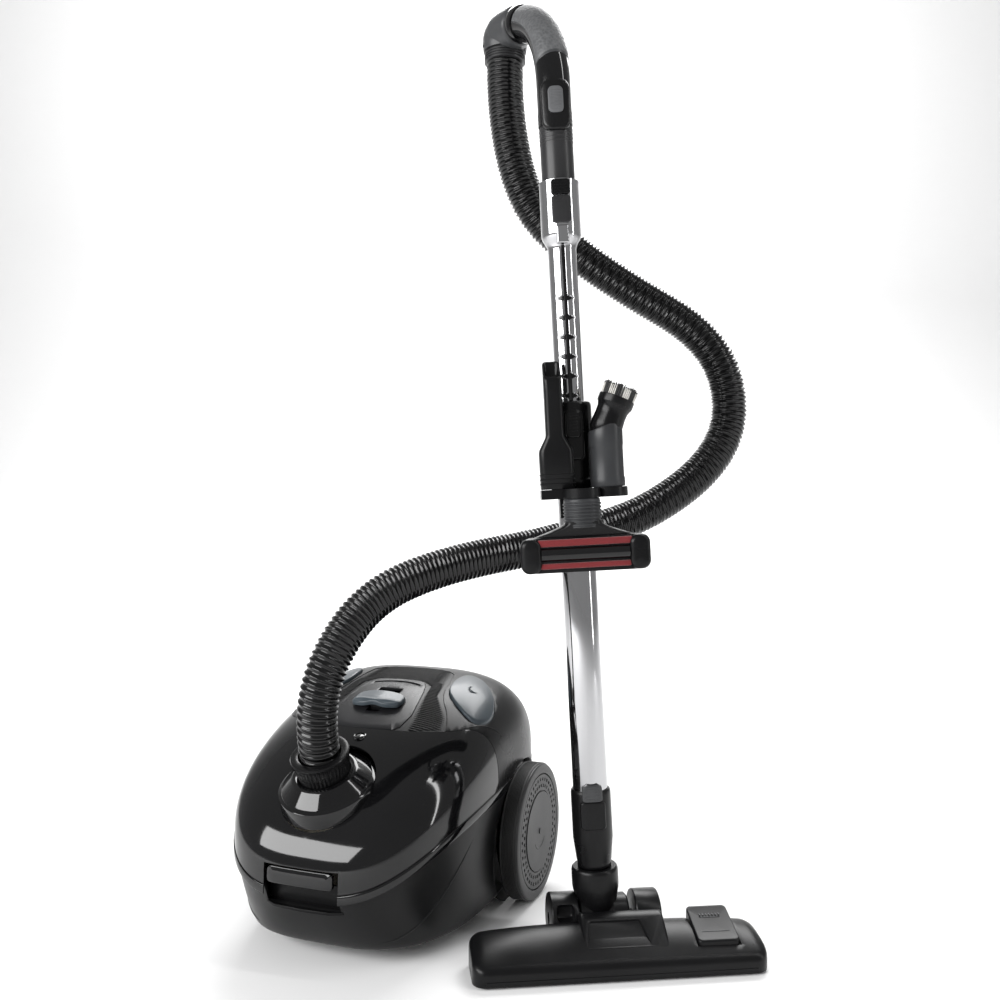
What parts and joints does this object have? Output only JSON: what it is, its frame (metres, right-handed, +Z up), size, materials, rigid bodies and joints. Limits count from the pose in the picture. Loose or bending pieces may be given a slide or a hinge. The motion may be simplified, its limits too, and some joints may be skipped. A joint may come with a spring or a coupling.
{
  "type": "canister vacuum cleaner",
  "caption": "Compact canister vacuum cleaner with corrugated hose, bent handle, telescopic chrome wand, clip-on accessories and combination floor nozzle.",
  "frame": {"origin": "middle of the footprint of the whole object (its box seen from above), on the floor", "axes": "+Z up; the canister faces -Y and its wheels turn about X; the wand stands on the +X side"},
  "size_m": [0.5598, 0.37, 0.9762],
  "materials": {
    "lid_gloss": "high gloss",
    "shell_satin": "fine satin grain",
    "panel_satin": "satin",
    "button_grey": "semi-gloss blue-grey",
    "wheel_grey": "satin",
    "tyre_black": "matt",
    "hose_black": "gloss ribbed",
    "handle_black": "gloss",
    "grip_grey": "fine stipple",
    "dome_grey": "satin",
    "tube_grey": "satin",
    "chrome": "bright",
    "tool_black": "satin",
    "tool_grey": "satin",
    "bristle": "bristle",
    "lint_red": "short nap",
    "steel": "turned",
    "filter_pale": "felt",
    "paper_bag": "non-woven",
    "inner_grey": "moulded",
    "window_clear": "dark clear",
    "sole_steel": "brushed"
  },
  "bodies": {
    "base": {"base_shell": "shell_satin", "rear_cover": "shell_satin", "ribbed_deck": "shell_satin", "center_panel": "panel_satin", "exhaust_grille": "shell_satin", "exhaust_filter": "filter_pale", "cord_outlet": "tool_black", "dust_bag": "paper_bag", "bag_holder": "inner_grey", "motor_filter": "filter_pale", "motor_housing": "inner_grey", "reel_bracket": "inner_grey", "axle_left": "steel", "axle_right": "steel", "hose": "hose_black", "swivel_dome": "dome_grey", "handle_body": "handle_black", "grip_insert": "grip_grey", "slider_housing": "handle_black", "handle_tube": "tube_grey", "inner_tube": "chrome"},
    "lid": {"lid": "lid_gloss", "indicator_window": "window_clear", "inlet_cone": "lid_gloss"},
    "cuff": {"hose_cuff": "tool_black"},
    "catch": {"lid_catch": "shell_satin"},
    "power_button": {"power_pedal": "button_grey"},
    "rewind_button": {"rewind_pedal": "button_grey"},
    "regulator": {"power_slider": "button_grey"},
    "rotor": {"motor_fan": "steel"},
    "reel": {"cord_reel": "inner_grey"},
    "left_wheel": {"wheel_left": "wheel_grey", "tyre_left": "tyre_black"},
    "right_wheel": {"wheel_right": "wheel_grey", "tyre_right": "tyre_black"},
    "caster": {"caster_fork": "tool_black", "caster_axle": "steel"},
    "caster_roller": {"caster_wheel": "tyre_black"},
    "ring": {"swivel_ring": "tool_black"},
    "air_valve": {"air_slider": "grip_grey"},
    "handle_button": {"socket_button": "tool_black"},
    "wand": {"outer_tube": "chrome", "telescope_collar": "tool_black", "accessory_holder": "tool_black", "nozzle_neck": "tool_black"},
    "telescope_button": {"telescope_slider": "tool_black"},
    "crevice": {"crevice_tool": "tool_grey"},
    "brush": {"brush_body": "tool_grey", "brush_bristles": "bristle"},
    "upholstery": {"upholstery_tool": "tool_black", "lint_strips": "lint_red"},
    "tube_button": {"neck_button": "tool_black"},
    "elbow": {"neck_elbow": "tool_black"},
    "nozzle": {"nozzle_body": "tool_black", "nozzle_sole": "sole_steel", "nozzle_axles": "steel"},
    "bristle_bar": {"nozzle_bristles": "bristle"},
    "rocker": {"nozzle_pedal": "tool_black"},
    "rollers": {"nozzle_wheels": "tyre_black"}
  },
  "joints": [
    {"name": "lid_hinge", "type": "hinge", "parent": "base", "child": "lid", "pos_m": [-0.13, -0.007, 0.205], "axis": [-1, 0, 0], "range_deg": [0, 50], "deforming": ["hose"]},
    {"name": "cuff_swivel", "type": "hinge", "parent": "lid", "child": "cuff", "pos_m": [-0.13, -0.132, 0.168], "axis": [0, -0.4067, 0.9135], "continuous": true},
    {"name": "catch_pull", "type": "hinge", "parent": "lid", "child": "catch", "pos_m": [-0.13, -0.1855, 0.102], "axis": [-1, 0, 0], "range_deg": [0, 18], "stiffness_Nm_per_rad": 0.3},
    {"name": "power_press", "type": "slide", "parent": "base", "child": "power_button", "axis": [0, 0, -1], "range_m": [0, 0.004], "stiffness_N_per_m": 600},
    {"name": "rewind_press", "type": "slide", "parent": "base", "child": "rewind_button", "axis": [0, 0, -1], "range_m": [0, 0.004], "stiffness_N_per_m": 600},
    {"name": "regulator_slide", "type": "slide", "parent": "base", "child": "regulator", "axis": [0, 0.9613, 0.2756], "range_m": [0, 0.008]},
    {"name": "rotor_spin", "type": "hinge", "parent": "base", "child": "rotor", "pos_m": [-0.176, 0.013, 0.092], "axis": [0, 1, 0], "continuous": true},
    {"name": "reel_spin", "type": "hinge", "parent": "base", "child": "reel", "pos_m": [-0.07, 0.067, 0.096], "axis": [1, 0, 0], "continuous": true},
    {"name": "left_wheel_spin", "type": "hinge", "parent": "base", "child": "left_wheel", "pos_m": [-0.268, 0.073, 0.075], "axis": [1, 0, 0], "continuous": true},
    {"name": "right_wheel_spin", "type": "hinge", "parent": "base", "child": "right_wheel", "pos_m": [0.008, 0.073, 0.075], "axis": [1, 0, 0], "continuous": true},
    {"name": "caster_swivel", "type": "hinge", "parent": "base", "child": "caster", "pos_m": [-0.13, -0.087, 0.05], "axis": [0, 0, 1], "continuous": true},
    {"name": "caster_spin", "type": "hinge", "parent": "caster", "child": "caster_roller", "pos_m": [-0.13, -0.081, 0.017], "axis": [1, 0, 0], "continuous": true},
    {"name": "hose_swivel", "type": "hinge", "parent": "base", "child": "ring", "pos_m": [-0.006, 0.036, 0.93], "axis": [0, 0, 1], "continuous": true},
    {"name": "air_slide", "type": "slide", "parent": "base", "child": "air_valve", "axis": [-0.0497, -0.0191, 0.9986], "range_m": [-0.006, 0]},
    {"name": "handle_press", "type": "slide", "parent": "base", "child": "handle_button", "axis": [-0.3584, 0.9336, 0], "range_m": [0, 0.0018], "stiffness_N_per_m": 600},
    {"name": "telescope", "type": "slide", "parent": "base", "child": "wand", "axis": [-0.0497, -0.0191, 0.9986], "range_m": [0, 0.116]},
    {"name": "telescope_press", "type": "slide", "parent": "wand", "child": "telescope_button", "axis": [0.0497, 0.0191, -0.9986], "range_m": [0, 0.008], "stiffness_N_per_m": 300},
    {"name": "crevice_pull", "type": "slide", "parent": "wand", "child": "crevice", "axis": [-0.0497, -0.0191, 0.9986], "range_m": [0, 0.04]},
    {"name": "brush_pull", "type": "slide", "parent": "wand", "child": "brush", "axis": [-0.0497, -0.0191, 0.9986], "range_m": [0, 0.04]},
    {"name": "upholstery_pull", "type": "slide", "parent": "wand", "child": "upholstery", "axis": [0.0497, 0.0191, -0.9986], "range_m": [0, 0.04]},
    {"name": "tube_press", "type": "slide", "parent": "wand", "child": "tube_button", "axis": [-0.3584, 0.9336, 0], "range_m": [0, 0.0015], "stiffness_N_per_m": 600},
    {"name": "neck_twist", "type": "hinge", "parent": "wand", "child": "elbow", "pos_m": [0.11193, -0.02063, 0.07989], "axis": [-0.0497, -0.0191, 0.9986], "range_deg": [-10, 80]},
    {"name": "nozzle_pitch", "type": "hinge", "parent": "elbow", "child": "nozzle", "pos_m": [0.1196, -0.0177, 0.03], "axis": [0.8862, 0.4633, 0], "range_deg": [0, 60]},
    {"name": "rocker_press", "type": "hinge", "parent": "nozzle", "child": "rocker", "pos_m": [0.22321, -0.00867, 0.03], "axis": [0.8862, 0.4633, 0], "range_deg": [0, 10]},
    {"name": "bristle_lift", "type": "slide", "parent": "nozzle", "child": "bristle_bar", "axis": [0, 0, 1], "range_m": [0, 0.004]},
    {"name": "roller_spin", "type": "hinge", "parent": "nozzle", "child": "rollers", "pos_m": [0.11775, -0.01416, 0.011], "axis": [0.8862, 0.4633, 0], "continuous": true}
  ],
  "couplings": [
    {"joint": "bristle_lift", "follows": "rocker_press", "m_per_rad": 0.022918}
  ]
}
